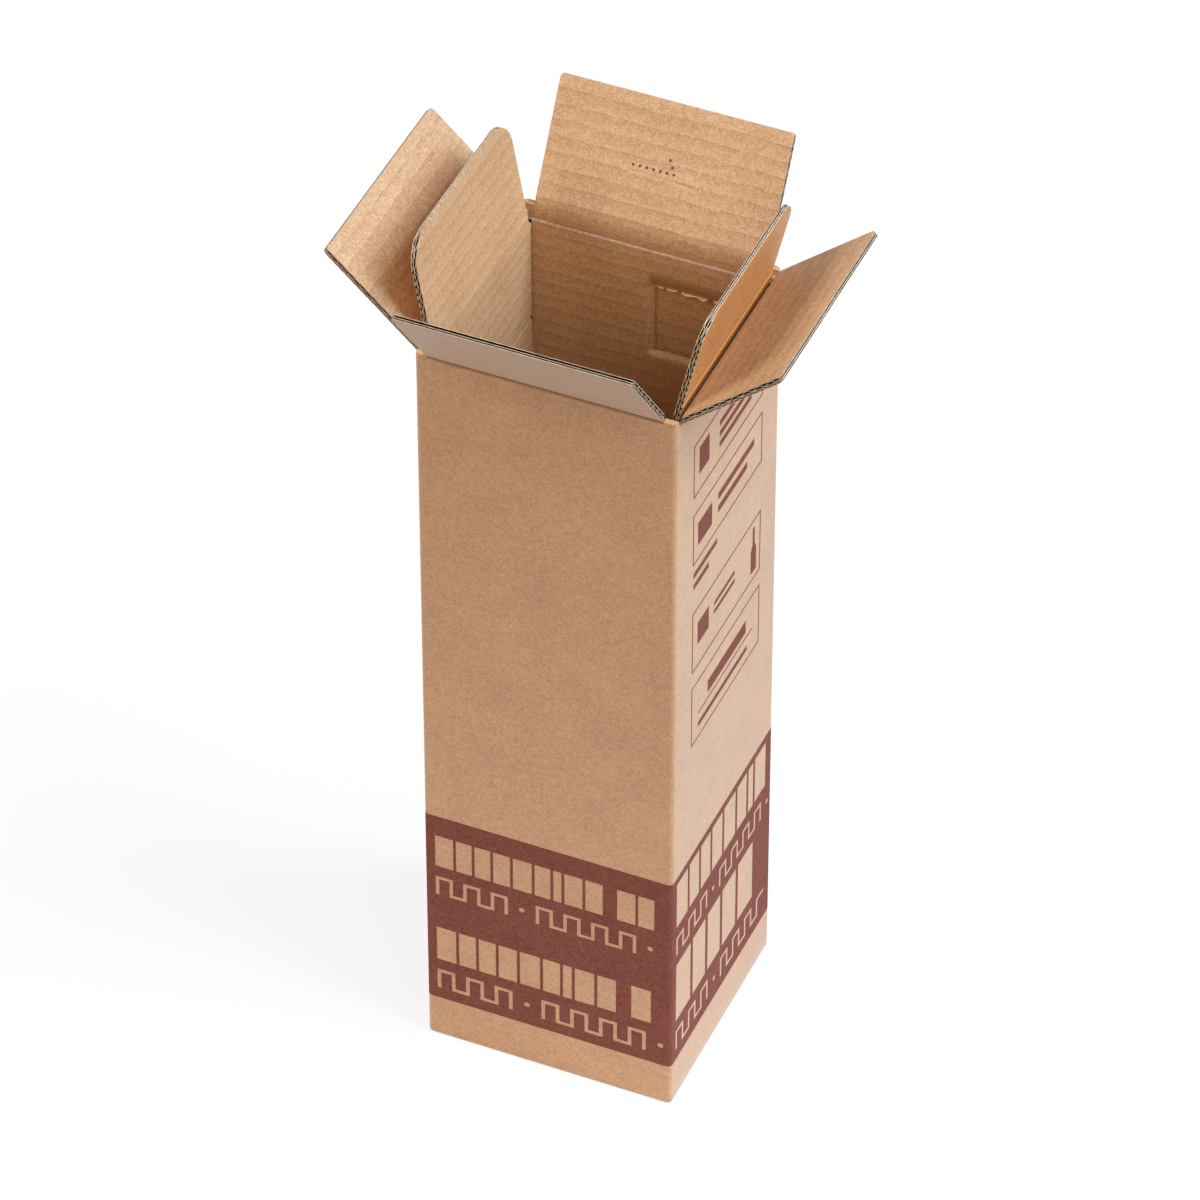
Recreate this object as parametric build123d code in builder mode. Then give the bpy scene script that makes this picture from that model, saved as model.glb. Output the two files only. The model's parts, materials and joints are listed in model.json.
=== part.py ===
from build123d import *
import os
from math import cos, radians, sin

os.makedirs("parts", exist_ok=True)

# A tall square carton for one bottle, with an insert that lines it.
# The frame has its origin at the middle of the underside, with +Z up.
# The front faces -Y, and all sizes are in millimetres.

# Carton: one folded sheet of double-wall board
carton_width = 124.0
carton_depth = 119.0
carton_height = 413.5  # floor to the crease of the front and back flaps
board = 3.0
fold_radius = 2.4  # outside radius of the upright folds
base_radius = 1.4  # outside radius of the folds round the base
seam_width = 0.8  # where two base flaps meet
seam_web = 0.6  # board left uncut under a seam

# Insert: one folded sheet that stands on the base and lines all four walls
insert_board = 2.8
insert_gap = 0.2  # between the insert and the carton's walls
insert_fold_radius = 1.8

# Creases and flaps
crease_gap = 0.2  # from a crease line to the board on each side of it
level_gap = 0.3  # between flaps that lie on each other when closed
meeting_gap = 0.6  # between two closed flaps that meet in the middle
side_flap_clearance = 1.8  # from a side flap's edge to the inside of the front and back walls
tip_radius = 1.5  # corners of the carton's flaps
insert_tip_radius = 15.0  # corners of the insert's flaps

# How far each flap leans out from upright, in degrees
front_flap_lean = 37.0
back_flap_lean = 30.0
left_flap_lean = 47.0
right_flap_lean = 50.0
insert_left_lean = 10.0
insert_right_lean = 13.0

# Flutes of the inner layer of the board, which show at the flaps' cut edges
flute_pitch = 7.2
flute_paper = 0.35  # facing and fluted paper on each side of a flute
flute_share = 0.58  # share of the board's thickness that the inner layer takes

# Upper part of the insert's side panels, cut free of its front and back panels
panel_slot = 3.0  # width of each slot
panel_crease_depth = 62.0  # from the carton's rim down to the cross crease
shoulder_drop = 17.0  # height over which the slot narrows to nothing
crease_groove = 0.5
crease_groove_height = 2.4

# Torn-out window in the insert's back panel
window_top = 27.0  # below the carton's rim
window_height = 36.5
window_left = 3.0  # to the right of the middle
window_width = 40.0
tear_pitch = 4.6
tear_radius = 1.1
tear_sides = 6

# Pricked holes in the back flap
prick_radius = 0.55
prick_depth = 1.6
prick_pitch = 3.25
prick_count = 8
prick_sides = 6
prick_row_start = -15.6  # left end of the row, from the middle
prick_row_height = 27.5  # above the crease
prick_turn = [(18.4, 2.8), (16.6, 5.6)]  # from the row's start, and above the row

# Print: a band round the base and four frames on the right face
ink = 0.1
band_bottom = 24.5
band_height = 115.8
line_width = 0.7
frame_width = 78.8
frame_shift = 0.3  # of the frames' middle from the face's middle
frame_bottoms = [208.5, 252.8, 316.6, 355.7]
frame_heights = [35.0, 35.2, 29.1, 29.9]

# Worked out from the sizes above
half_width = carton_width / 2
half_depth = carton_depth / 2
inside_half_width = half_width - board
inside_half_depth = half_depth - board
floor_top = 2 * board

insert_half_width = inside_half_width - insert_gap
insert_half_depth = inside_half_depth - insert_gap
bore_half_width = insert_half_width - insert_board
bore_half_depth = insert_half_depth - insert_board

end_crease = carton_height
side_crease = end_crease - board - level_gap
insert_crease = side_crease - board - level_gap

end_flap_length = half_depth - meeting_gap / 2
side_flap_length = half_width - meeting_gap / 2
insert_flap_length = insert_half_width - meeting_gap / 2

# The front and back flaps pass between the insert's upright flaps
end_flap_half_width = bore_half_width
side_flap_half_width = inside_half_depth - side_flap_clearance
insert_flap_half_width = bore_half_depth - panel_slot

front = Vector(0, -1, 0)
back = Vector(0, 1, 0)
left = Vector(-1, 0, 0)
right = Vector(1, 0, 0)
up = Vector(0, 0, 1)


def flap_plane(outward, reach, crease, lean):
    """Plane across a flap: X from its crease to its tip, Y from its outer face inward."""
    along = outward * sin(radians(lean)) + up * cos(radians(lean))
    origin = outward * reach + up * crease
    return Plane(origin=origin, x_dir=along, z_dir=outward.cross(up))


def inner_face(plane, thickness):
    """Plane on a flap's inner face: X along its crease, Y from its crease to its tip."""
    normal = plane.y_dir
    return Plane(origin=plane.origin + normal * thickness, x_dir=plane.z_dir, z_dir=normal)


def flap_solid(plane, length, half_span, thickness, corner):
    """A flap with a mitred root, rounded tip corners and open flutes in its inner layer."""
    with BuildPart() as flap:
        with BuildSketch(plane):
            with BuildLine():
                Polyline(
                    (crease_gap, 0),
                    (length, 0),
                    (length, thickness),
                    (crease_gap + thickness, thickness),
                    close=True,
                )
            make_face()
        extrude(amount=half_span, both=True)
        fillet(flap.edges().filter_by(Axis(plane.origin, plane.y_dir)), radius=corner)

        # Each flute is a pair of triangular tunnels, one on each side of the wavy paper
        tunnel_top = thickness - flute_paper
        tunnel_bottom = thickness * (1 - flute_share)
        half_pitch = flute_pitch / 2
        first = crease_gap + thickness + flute_paper + half_pitch
        count = int((length - flute_paper - first) / half_pitch)
        with BuildSketch(plane):
            for index in range(count):
                middle = first + index * half_pitch
                if index % 2 == 0:
                    wide, narrow = tunnel_bottom, tunnel_top
                else:
                    wide, narrow = tunnel_top, tunnel_bottom
                with BuildLine():
                    Polyline(
                        (middle - half_pitch + flute_paper, wide),
                        (middle + half_pitch - flute_paper, wide),
                        (middle, narrow),
                        close=True,
                    )
                make_face()
        extrude(amount=half_span, both=True, mode=Mode.SUBTRACT)
    return flap.part


# Carton body: four walls and the closed base
with BuildPart() as carton:
    with BuildSketch():
        RectangleRounded(carton_width, carton_depth, fold_radius)
    extrude(amount=end_crease - crease_gap)
    fillet(carton.edges().group_by(Axis.Z)[0], radius=base_radius)
    with BuildSketch(Plane.XY.offset(floor_top)):
        Rectangle(2 * inside_half_width, 2 * inside_half_depth)
    extrude(amount=end_crease, mode=Mode.SUBTRACT)

    # Side walls are lower than the front and back walls
    side_top = side_crease - crease_gap
    with BuildSketch(Plane.XY.offset(side_top)):
        Rectangle(carton_width, 2 * inside_half_depth)
    extrude(amount=end_crease, mode=Mode.SUBTRACT)

    # Mitre along the top of each wall, where its flap folds in
    end_top = end_crease - crease_gap
    with BuildSketch(Plane.YZ):
        for side in (-1, 1):
            with BuildLine():
                Polyline(
                    (side * half_depth, end_top),
                    (side * inside_half_depth, end_top),
                    (side * inside_half_depth, end_top - board),
                    close=True,
                )
            make_face()
    extrude(amount=half_width, both=True, mode=Mode.SUBTRACT)
    with BuildSketch(Plane.XZ):
        for side in (-1, 1):
            with BuildLine():
                Polyline(
                    (side * half_width, side_top),
                    (side * inside_half_width, side_top),
                    (side * inside_half_width, side_top - board),
                    close=True,
                )
            make_face()
    extrude(amount=inside_half_depth, both=True, mode=Mode.SUBTRACT)

    # Seams: one under the base near the front fold, one inside where two flaps meet
    with BuildSketch():
        with Locations((0, -inside_half_depth)):
            Rectangle(2 * inside_half_width, seam_width)
    extrude(amount=board - seam_web, mode=Mode.SUBTRACT)
    with BuildSketch(Plane.XY.offset(floor_top)):
        Rectangle(seam_width, 2 * inside_half_depth)
    extrude(amount=seam_web - board, mode=Mode.SUBTRACT)
carton.part.label = "carton_body"
export_step(carton.part, "parts/carton_body.step")


# Carton flaps
front_plane = flap_plane(front, half_depth, end_crease, front_flap_lean)
with BuildPart() as front_flap:
    add(flap_solid(front_plane, end_flap_length, end_flap_half_width, board, tip_radius))
front_flap.part.label = "carton_front_flap"
export_step(front_flap.part, "parts/carton_front_flap.step")

back_plane = flap_plane(back, half_depth, end_crease, back_flap_lean)
with BuildPart() as back_flap:
    add(flap_solid(back_plane, end_flap_length, end_flap_half_width, board, tip_radius))
    pricks = [
        (prick_row_start + index * prick_pitch, prick_row_height)
        for index in range(prick_count)
    ]
    pricks += [
        (prick_row_start + over, prick_row_height + rise)
        for over, rise in prick_turn
    ]
    with BuildSketch(inner_face(back_plane, board)):
        with Locations(*pricks):
            RegularPolygon(prick_radius, prick_sides)
    extrude(amount=-prick_depth, mode=Mode.SUBTRACT)
back_flap.part.label = "carton_back_flap"
export_step(back_flap.part, "parts/carton_back_flap.step")

left_plane = flap_plane(left, half_width, side_crease, left_flap_lean)
with BuildPart() as left_flap:
    add(flap_solid(left_plane, side_flap_length, side_flap_half_width, board, tip_radius))
left_flap.part.label = "carton_left_flap"
export_step(left_flap.part, "parts/carton_left_flap.step")

right_plane = flap_plane(right, half_width, side_crease, right_flap_lean)
with BuildPart() as right_flap:
    add(flap_solid(right_plane, side_flap_length, side_flap_half_width, board, tip_radius))
right_flap.part.label = "carton_right_flap"
export_step(right_flap.part, "parts/carton_right_flap.step")


# Insert sleeve: four panels standing on the base
with BuildPart() as sleeve:
    with BuildSketch(Plane.XY.offset(floor_top)):
        RectangleRounded(2 * insert_half_width, 2 * insert_half_depth, insert_fold_radius)
        Rectangle(2 * bore_half_width, 2 * bore_half_depth, mode=Mode.SUBTRACT)
    extrude(amount=insert_crease - floor_top)

    # Side panels: a mitre at the top for their flaps
    panel_top = insert_crease - crease_gap
    with BuildSketch(Plane.XZ):
        for side in (-1, 1):
            with BuildLine():
                Polyline(
                    (side * insert_half_width, insert_crease),
                    (side * bore_half_width, insert_crease),
                    (side * bore_half_width, panel_top - insert_board),
                    (side * insert_half_width, panel_top),
                    close=True,
                )
            make_face()
    extrude(amount=insert_flap_half_width, both=True, mode=Mode.SUBTRACT)

    # Slots that free the upper panels, each with a sloping shoulder at its foot
    cross_crease = carton_height - panel_crease_depth
    with BuildSketch(Plane.YZ):
        for side in (-1, 1):
            with BuildLine():
                Polyline(
                    (side * insert_flap_half_width, insert_crease),
                    (side * bore_half_depth, insert_crease),
                    (side * bore_half_depth, cross_crease - shoulder_drop),
                    (side * insert_flap_half_width, cross_crease),
                    close=True,
                )
            make_face()
    extrude(amount=insert_half_width, both=True, mode=Mode.SUBTRACT)

    # Cross crease pressed into both side panels
    with BuildSketch(Plane.XZ):
        for side in (-1, 1):
            with BuildLine():
                Polyline(
                    (side * bore_half_width, cross_crease - crease_groove_height / 2),
                    (side * bore_half_width, cross_crease + crease_groove_height / 2),
                    (side * (bore_half_width + crease_groove), cross_crease),
                    close=True,
                )
            make_face()
    extrude(amount=insert_flap_half_width, both=True, mode=Mode.SUBTRACT)

    # Window in the back panel, with a torn upper edge
    window_upper = carton_height - window_top
    tear_count = int(window_width / tear_pitch)
    with BuildSketch(Plane.XZ):
        with Locations((window_left + window_width / 2, window_upper - window_height / 2)):
            Rectangle(window_width, window_height)
        with Locations((window_left + window_width / 2, window_upper)):
            with GridLocations(tear_pitch, 0, tear_count, 1):
                RegularPolygon(tear_radius, tear_sides)
    extrude(amount=-insert_half_depth, mode=Mode.SUBTRACT)
sleeve.part.label = "insert_sleeve"
export_step(sleeve.part, "parts/insert_sleeve.step")


# Insert flaps
insert_left_plane = flap_plane(left, insert_half_width, insert_crease, insert_left_lean)
with BuildPart() as insert_left:
    add(
        flap_solid(
            insert_left_plane,
            insert_flap_length,
            insert_flap_half_width,
            insert_board,
            insert_tip_radius,
        )
    )
insert_left.part.label = "insert_left_flap"
export_step(insert_left.part, "parts/insert_left_flap.step")

insert_right_plane = flap_plane(right, insert_half_width, insert_crease, insert_right_lean)
with BuildPart() as insert_right:
    add(
        flap_solid(
            insert_right_plane,
            insert_flap_length,
            insert_flap_half_width,
            insert_board,
            insert_tip_radius,
        )
    )
insert_right.part.label = "insert_right_flap"
export_step(insert_right.part, "parts/insert_right_flap.step")


# Print
# The band has rows of bare blocks and rows of a bare key pattern with dots between.
# A row is where it starts and how high it is, as shares of the band's height.
end_block_rows = [(0.73, 0.165), (0.215, 0.178)]
side_block_rows = [(0.73, 0.235), (0.215, 0.31)]
key_rows = [(0.575, 0.1), (0.055, 0.105)]
row_margin = 3.0  # left in ink at each end of a face

# Shares of a row's height
block_widths = [0.48, 0.42, 0.42, 0.45, 0.5, 0.42, 0.22, 0.48, 0.46]
block_gap = 0.07
word_gap = 0.3
key_stroke = 0.16
key_step = 0.6
dot_radius = 0.13
dot_sides = 8
key_counts = [6, 8]  # uprights in each run of the key pattern


def band_face(outward, reach):
    """Plane on one face of the carton, at the band's lower edge: Y up, Z out."""
    return Plane(
        origin=outward * reach + up * band_bottom,
        x_dir=up.cross(outward),
        z_dir=outward,
    )


def add_block_row(half_span, start, share):
    """Bare blocks of uneven widths, in runs as long as a word."""
    height = share * band_height
    middle = start * band_height + height / 2
    place = row_margin - half_span
    index = 0
    while True:
        width = block_widths[index % len(block_widths)] * height
        if place + width > half_span - row_margin:
            return
        with Locations((place + width / 2, middle)):
            Rectangle(width, height)
        place += width + block_gap * height
        index += 1
        if index % len(block_widths) == 0:
            place += word_gap * height


def add_key_row(half_span, start, share):
    """Runs of a square key pattern, with a dot after each run."""
    height = share * band_height
    middle = start * band_height + height / 2
    stroke = key_stroke * height
    step = key_step * height
    place = row_margin - half_span + stroke / 2
    for count in key_counts:
        for index in range(count):
            if place + step > half_span - row_margin:
                return
            with Locations((place, middle)):
                Rectangle(stroke, height)
            if index < count - 1:
                side = 1 if index % 2 == 0 else -1
                with Locations((place + step / 2, middle + side * (height - stroke) / 2)):
                    Rectangle(step + stroke, stroke)
            place += step
        if place < half_span - row_margin:
            with Locations((place + stroke / 2, middle)):
                RegularPolygon(dot_radius * height, dot_sides)
        place += step + stroke


with BuildPart() as band:
    with BuildSketch(Plane.XY.offset(band_bottom)):
        RectangleRounded(carton_width + 2 * ink, carton_depth + 2 * ink, fold_radius + ink)
        RectangleRounded(carton_width, carton_depth, fold_radius, mode=Mode.SUBTRACT)
    extrude(amount=band_height)
    for outward, reach, half_span, block_rows in (
        (front, half_depth, half_width, end_block_rows),
        (right, half_width, half_depth, side_block_rows),
        (back, half_depth, half_width, end_block_rows),
        (left, half_width, half_depth, side_block_rows),
    ):
        with BuildSketch(band_face(outward, reach)):
            for start, share in block_rows:
                add_block_row(half_span - fold_radius, start, share)
            for start, share in key_rows:
                add_key_row(half_span - fold_radius, start, share)
        extrude(amount=ink, both=True, mode=Mode.SUBTRACT)
band.part.label = "printed_band"
export_step(band.part, "parts/printed_band.step")


# What each frame holds, as shares of the frame's width and height from its lower left
# corner: the middle of a bar, then the bar's width and height
frame_bars = [
    [(0.52, 0.62, 0.56, 0.2), (0.5, 0.42, 0.8, 0.02), (0.46, 0.22, 0.72, 0.08)],
    [(0.16, 0.55, 0.16, 0.36), (0.47, 0.62, 0.3, 0.06), (0.47, 0.48, 0.3, 0.06)],
    [(0.17, 0.5, 0.2, 0.44), (0.62, 0.64, 0.52, 0.13), (0.57, 0.38, 0.42, 0.13)],
    [(0.15, 0.58, 0.14, 0.5), (0.6, 0.7, 0.46, 0.1), (0.6, 0.5, 0.46, 0.1), (0.6, 0.3, 0.46, 0.1)],
]
bottle_frame = 1
bottle_middle = 0.9  # share of the frame's width
bottle_height = 26.0
bottle_radius = 3.0
neck_radius = 1.1
neck_share = 0.36  # of the bottle's height
shoulder_share = 0.14
note_bars = [(0.18, 0.34), (0.12, 0.22)]  # between two frames: middle and width
note_height = 3.0
note_pitch = 6.5

right_face = Plane(origin=right * half_width, x_dir=back, z_dir=right)
with BuildPart() as marks:
    with BuildSketch(right_face):
        frame_left = frame_shift - frame_width / 2
        for bottom, height, bars in zip(frame_bottoms, frame_heights, frame_bars):
            with Locations((frame_shift, bottom + height / 2)):
                Rectangle(frame_width, height)
                Rectangle(frame_width - 2 * line_width, height - 2 * line_width, mode=Mode.SUBTRACT)
            for across, rise, wide, tall in bars:
                with Locations((frame_left + across * frame_width, bottom + rise * height)):
                    Rectangle(wide * frame_width, tall * height)
        for index, (across, wide) in enumerate(note_bars):
            drop = note_pitch * (index + 1)
            with Locations((frame_left + across * frame_width, frame_bottoms[2] - drop)):
                Rectangle(wide * frame_width, note_height)

        # Plain bottle outline
        foot = frame_bottoms[bottle_frame] + (frame_heights[bottle_frame] - bottle_height) / 2
        middle = frame_left + bottle_middle * frame_width
        neck_foot = foot + bottle_height * (1 - neck_share)
        shoulder_foot = neck_foot - bottle_height * shoulder_share
        with BuildLine():
            Polyline(
                (middle - bottle_radius, foot),
                (middle + bottle_radius, foot),
                (middle + bottle_radius, shoulder_foot),
                (middle + neck_radius, neck_foot),
                (middle + neck_radius, foot + bottle_height),
                (middle - neck_radius, foot + bottle_height),
                (middle - neck_radius, neck_foot),
                (middle - bottle_radius, shoulder_foot),
                close=True,
            )
        make_face()
    extrude(amount=ink)
marks.part.label = "printed_marks"
export_step(marks.part, "parts/printed_marks.step")
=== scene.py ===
# %% [markdown]
# # A shipping box for one bottle
#
# The real object is a tall carton of corrugated board with its four top flaps standing
# open, and a second folded sheet of board that lines it. The solids come from CAD and
# are a fixed frame: nothing in them is moved here. This script dresses them. It rebuilds
# each sheet with its paper facings and its fluting, gives every face its kraft paper or
# its ink, and sets up the camera, the lights and the floor.

# %% Load the frame
import json
from math import cos, exp, pi, radians, sin

import bmesh
import bpy
from mathutils import Matrix, Vector, noise


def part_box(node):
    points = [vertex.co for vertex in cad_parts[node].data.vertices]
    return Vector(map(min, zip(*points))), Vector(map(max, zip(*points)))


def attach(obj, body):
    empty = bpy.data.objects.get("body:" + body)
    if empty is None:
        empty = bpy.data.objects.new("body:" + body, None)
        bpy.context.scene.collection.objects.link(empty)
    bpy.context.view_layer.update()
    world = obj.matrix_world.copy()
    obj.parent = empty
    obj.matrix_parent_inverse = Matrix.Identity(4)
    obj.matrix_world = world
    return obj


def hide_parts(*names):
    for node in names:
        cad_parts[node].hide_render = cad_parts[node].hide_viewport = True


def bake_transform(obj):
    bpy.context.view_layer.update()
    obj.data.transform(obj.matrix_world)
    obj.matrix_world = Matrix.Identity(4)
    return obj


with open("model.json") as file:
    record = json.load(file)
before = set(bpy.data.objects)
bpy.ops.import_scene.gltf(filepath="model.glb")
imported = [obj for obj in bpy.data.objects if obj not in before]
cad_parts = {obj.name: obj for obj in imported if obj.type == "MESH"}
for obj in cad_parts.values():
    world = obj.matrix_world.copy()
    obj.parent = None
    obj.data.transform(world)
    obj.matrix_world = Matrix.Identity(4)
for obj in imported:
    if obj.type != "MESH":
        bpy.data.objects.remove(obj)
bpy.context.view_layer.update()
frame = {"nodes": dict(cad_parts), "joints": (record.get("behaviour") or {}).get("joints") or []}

# %% [markdown]
# ## Sizes
#
# Sizes could be typed in a second time, but then they could drift away from the solids.
# Blender can read them from the frame instead: the corner of a node's box gives a wall's
# place, and the joint of a flap gives the height of its crease.

# %% Read the sizes
MM = 0.001
UP = Vector((0, 0, 1))
FRONT, BACK = Vector((0, -1, 0)), Vector((0, 1, 0))
LEFT, RIGHT = Vector((-1, 0, 0)), Vector((1, 0, 0))

half_width, half_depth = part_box("carton_body")[1].xy
creases = {joint["child"]: Vector(joint["pos_m"]) for joint in frame["joints"]}
end_crease = creases["front_flap"].z
side_crease = creases["left_flap"].z
insert_crease = creases["insert_left"].z
insert_half_width, insert_half_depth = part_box("insert_sleeve")[1].xy
carton_board = 3.0 * MM
insert_board = 2.8 * MM
floor_top = 2 * carton_board
print(f"carton {2000 * half_width:.0f} x {2000 * half_depth:.0f} x {1000 * end_crease:.1f} mm")

# %% [markdown]
# ## Paper finishes
#
# Kraft paper is brown and matt, with faint clouds a few centimetres wide, a fine grain and
# a few pale flecks. A picture of paper could be wrapped round the box, but it would show
# its seams. Noise that is worked out at each point has none. Every piece carries an
# attribute called sheet, which says where a point was before the sheet was folded, so the
# pattern runs on over each crease and stays with a flap when it moves.

# %% A helper for shader nodes
def add_node(tree, kind, inputs=None, **settings):
    """Makes a shader node, and sets or links its inputs."""
    made = tree.nodes.new("ShaderNode" + kind)
    for name, value in settings.items():
        setattr(made, name, value)
    for name, value in (inputs or {}).items():
        if isinstance(value, bpy.types.NodeSocket):
            tree.links.new(value, made.inputs[name])
        else:
            made.inputs[name].default_value = value
    return made


def calculate(tree, operation, *values, clamp=False):
    """A Math node's result."""
    inputs = dict(enumerate(values))
    return add_node(tree, "Math", inputs, operation=operation, use_clamp=clamp).outputs[0]


def linear(red, green, blue):
    """A colour given as it looks on screen, 0 to 255, as the shader wants it."""
    channels = [c / 255 for c in (red, green, blue)]
    return (*[c / 12.92 if c < 0.04 else ((c + 0.055) / 1.055) ** 2.4 for c in channels], 1)


# %% Clouds and grain
# each: features to the metre, detail, roughness, and weight in the pattern
CLOUDS = (45, 3, 0.5, 0.4)
FIBRES = (430, 4, 0.65, 1.0)
GRAIN = (1500, 3, 0.6, 2.3)
FLECK_SCALE, FLECK_CUT, FLECK_STRENGTH = 1100, 0.735, 0.22
FLECK_COLOUR = linear(242, 208, 170)


def noise_at(tree, place, scale, detail=2.0, roughness=0.5):
    """A noise pattern with scale features to the metre."""
    inputs = {"Vector": place, "Scale": scale, "Detail": detail, "Roughness": roughness}
    return add_node(tree, "TexNoise", inputs).outputs["Fac"]


def paper_pattern(tree, place):
    """How light the paper is at a point, round 0.5, and the height of its grain."""
    total = 0.5
    for scale, detail, roughness, weight in (CLOUDS, FIBRES, GRAIN):
        pattern = noise_at(tree, place, scale, detail, roughness)
        offset = calculate(tree, "SUBTRACT", pattern, 0.5)
        total = calculate(tree, "MULTIPLY_ADD", offset, weight, total)
    return total, pattern


def paper_colour(tree, lightness, place, dark, light):
    """Colours the pattern, and scatters a few pale flecks over it."""
    shade = calculate(tree, "ADD", lightness, 0.0, clamp=True)
    mixed = add_node(tree, "Mix", {"Factor": shade, "A": dark, "B": light}, data_type="RGBA")
    fleck = calculate(tree, "GREATER_THAN", noise_at(tree, place, FLECK_SCALE, 1), FLECK_CUT)
    fleck = calculate(tree, "MULTIPLY", fleck, FLECK_STRENGTH)
    inputs = {"Factor": fleck, "A": mixed.outputs["Result"], "B": FLECK_COLOUR}
    return add_node(tree, "Mix", inputs, data_type="RGBA").outputs["Result"]


print("paper pattern: clouds, fibres, grain, flecks")

# %% [markdown]
# The inner paper of the board shows its flutes through. The paper is glued to the tip of
# each flute and sinks a little between the tips, so it has shallow hollows that meet in
# fine ridges. Real geometry for hollows a tenth of a millimetre deep would cost far more
# faces than it is worth, so a bump does it: the height in each hollow is a parabola of
# the share of the way from one flute tip to the next. Painted shade also darkens each
# hollow towards its ridge, with a broken dark line on the ridge.

# %% Flutes that show through
FLUTE_PITCH = 7.2 * MM
SMALL_PITCH = 3.9 * MM
SWAY = 0.3  # how far the ridges wander, as a share of the pitch
# painted shade on the inner paper: a dark line on each ridge, and each hollow darker towards its
# ridge
LINE_START, LINE_RISE, LINE_PAINTED_SHADE = 0.82, 5.5, 0.3  # the dark line on each ridge
BREAK_START, BREAK_RISE = 0.36, 3.0  # where noise breaks that line up
HOLLOW_PAINTED_SHADE = 0.14  # how much each hollow darkens towards its ridge


def washboard(tree, place):
    """Height of the hollows, from 0 down to -1, and the painted shade that darkens the paper."""
    height = add_node(tree, "SeparateXYZ", {"Vector": place}).outputs["Z"]
    sway = calculate(tree, "MULTIPLY", noise_at(tree, place, 60, 2), SWAY)
    turns = calculate(tree, "MULTIPLY_ADD", height, 1 / FLUTE_PITCH, sway)
    share = calculate(tree, "FRACT", turns)
    rest = calculate(tree, "SUBTRACT", 1.0, share)
    hollow = calculate(tree, "MULTIPLY", calculate(tree, "MULTIPLY", share, rest), -4.0)
    line = calculate(tree, "SUBTRACT", share, LINE_START)
    line = calculate(tree, "MULTIPLY", line, LINE_RISE, clamp=True)
    broken = calculate(tree, "SUBTRACT", noise_at(tree, place, 130, 3), BREAK_START)
    broken = calculate(tree, "MULTIPLY", broken, BREAK_RISE, clamp=True)
    line = calculate(tree, "MULTIPLY", line, broken)
    # painted shade: each hollow darkens towards its ridge, and the dark line adds to it
    shade = calculate(tree, "MULTIPLY", share, HOLLOW_PAINTED_SHADE)
    painted_shade = calculate(tree, "MULTIPLY_ADD", line, LINE_PAINTED_SHADE, shade)
    return hollow, painted_shade


# %% [markdown]
# The kraft finish joins these. The facing outside is plain, and the facing inside has the
# washboard. A second attribute is above 0 where the paper is paler: wear and painted
# highlight on the folds of the walls, torn fibres on the window's edges with painted
# highlight on the upper one, and painted highlight on crease ridges, raised bands and a
# ledge. Below 0 it is painted shade: a dark line in creases, under a ledge and above the
# window. The carton's outer paper also has a little sheen, from fibres that stand up and
# catch the light when it is seen along its face. The insert's paper is browner and has none.

# %% Kraft paper
WEAR_AND_HIGHLIGHT_SCALE, WEAR_AND_HIGHLIGHT_STRENGTH = 240, 0.8
# the colour that painted shade mixes in
PAINTED_SHADE_COLOUR = linear(92, 62, 44)


def kraft(name, dark, light, ridges=0.0, grain=0.05, gloss=0.5, sheen=0.0):
    """Kraft paper. Ridges is the depth of the washboard and grain that of the grain, in mm."""
    made = bpy.data.materials.new(name)
    made.use_nodes = True
    tree = made.node_tree
    place = add_node(tree, "Attribute", attribute_name="sheet").outputs["Vector"]
    lightness, fine = paper_pattern(tree, place)
    wear_and_painted_light = add_node(tree, "Attribute", attribute_name="wear_and_painted_light").outputs["Fac"]
    # above 0 the attribute pales the paper: real wear and torn fibres, and painted highlight
    wear_and_painted_highlight = calculate(tree, "MAXIMUM", wear_and_painted_light, 0.0)
    wear_and_painted_highlight = calculate(tree, "MULTIPLY", wear_and_painted_highlight, noise_at(tree, place, WEAR_AND_HIGHLIGHT_SCALE, 3))
    lightness = calculate(tree, "MULTIPLY_ADD", wear_and_painted_highlight, WEAR_AND_HIGHLIGHT_STRENGTH, lightness)
    normal = None
    if ridges:
        hollow, painted_shade = washboard(tree, place)
        lightness = calculate(tree, "SUBTRACT", lightness, painted_shade)
        inputs = {"Height": hollow, "Distance": ridges * MM, "Strength": 1.0}
        normal = add_node(tree, "Bump", inputs).outputs["Normal"]
    inputs = {"Height": fine, "Distance": grain * MM, "Strength": 1.0}
    if normal:
        inputs["Normal"] = normal
    normal = add_node(tree, "Bump", inputs).outputs["Normal"]
    shader = tree.nodes["Principled BSDF"]
    shader.inputs["Roughness"].default_value = 0.55
    shader.inputs["Specular IOR Level"].default_value = gloss
    shader.inputs["Sheen Weight"].default_value = sheen
    colour = paper_colour(tree, lightness, place, dark, light)
    # below 0 the attribute is painted shade, mixed towards a dark colour
    painted_shade_share = calculate(tree, "MULTIPLY", wear_and_painted_light, -1.0, clamp=True)
    inputs = {"Factor": painted_shade_share, "A": colour, "B": PAINTED_SHADE_COLOUR}
    colour = add_node(tree, "Mix", inputs, data_type="RGBA").outputs["Result"]
    tree.links.new(colour, shader.inputs["Base Color"])
    tree.links.new(normal, shader.inputs["Normal"])
    return made


outside_paper = kraft(
    "outside_paper", linear(160, 104, 51), linear(213, 153, 91), gloss=0.9, sheen=0.28
)
inside_paper = kraft(
    "inside_paper", linear(166, 119, 77), linear(213, 169, 124), ridges=0.06, grain=0.03
)
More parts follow.
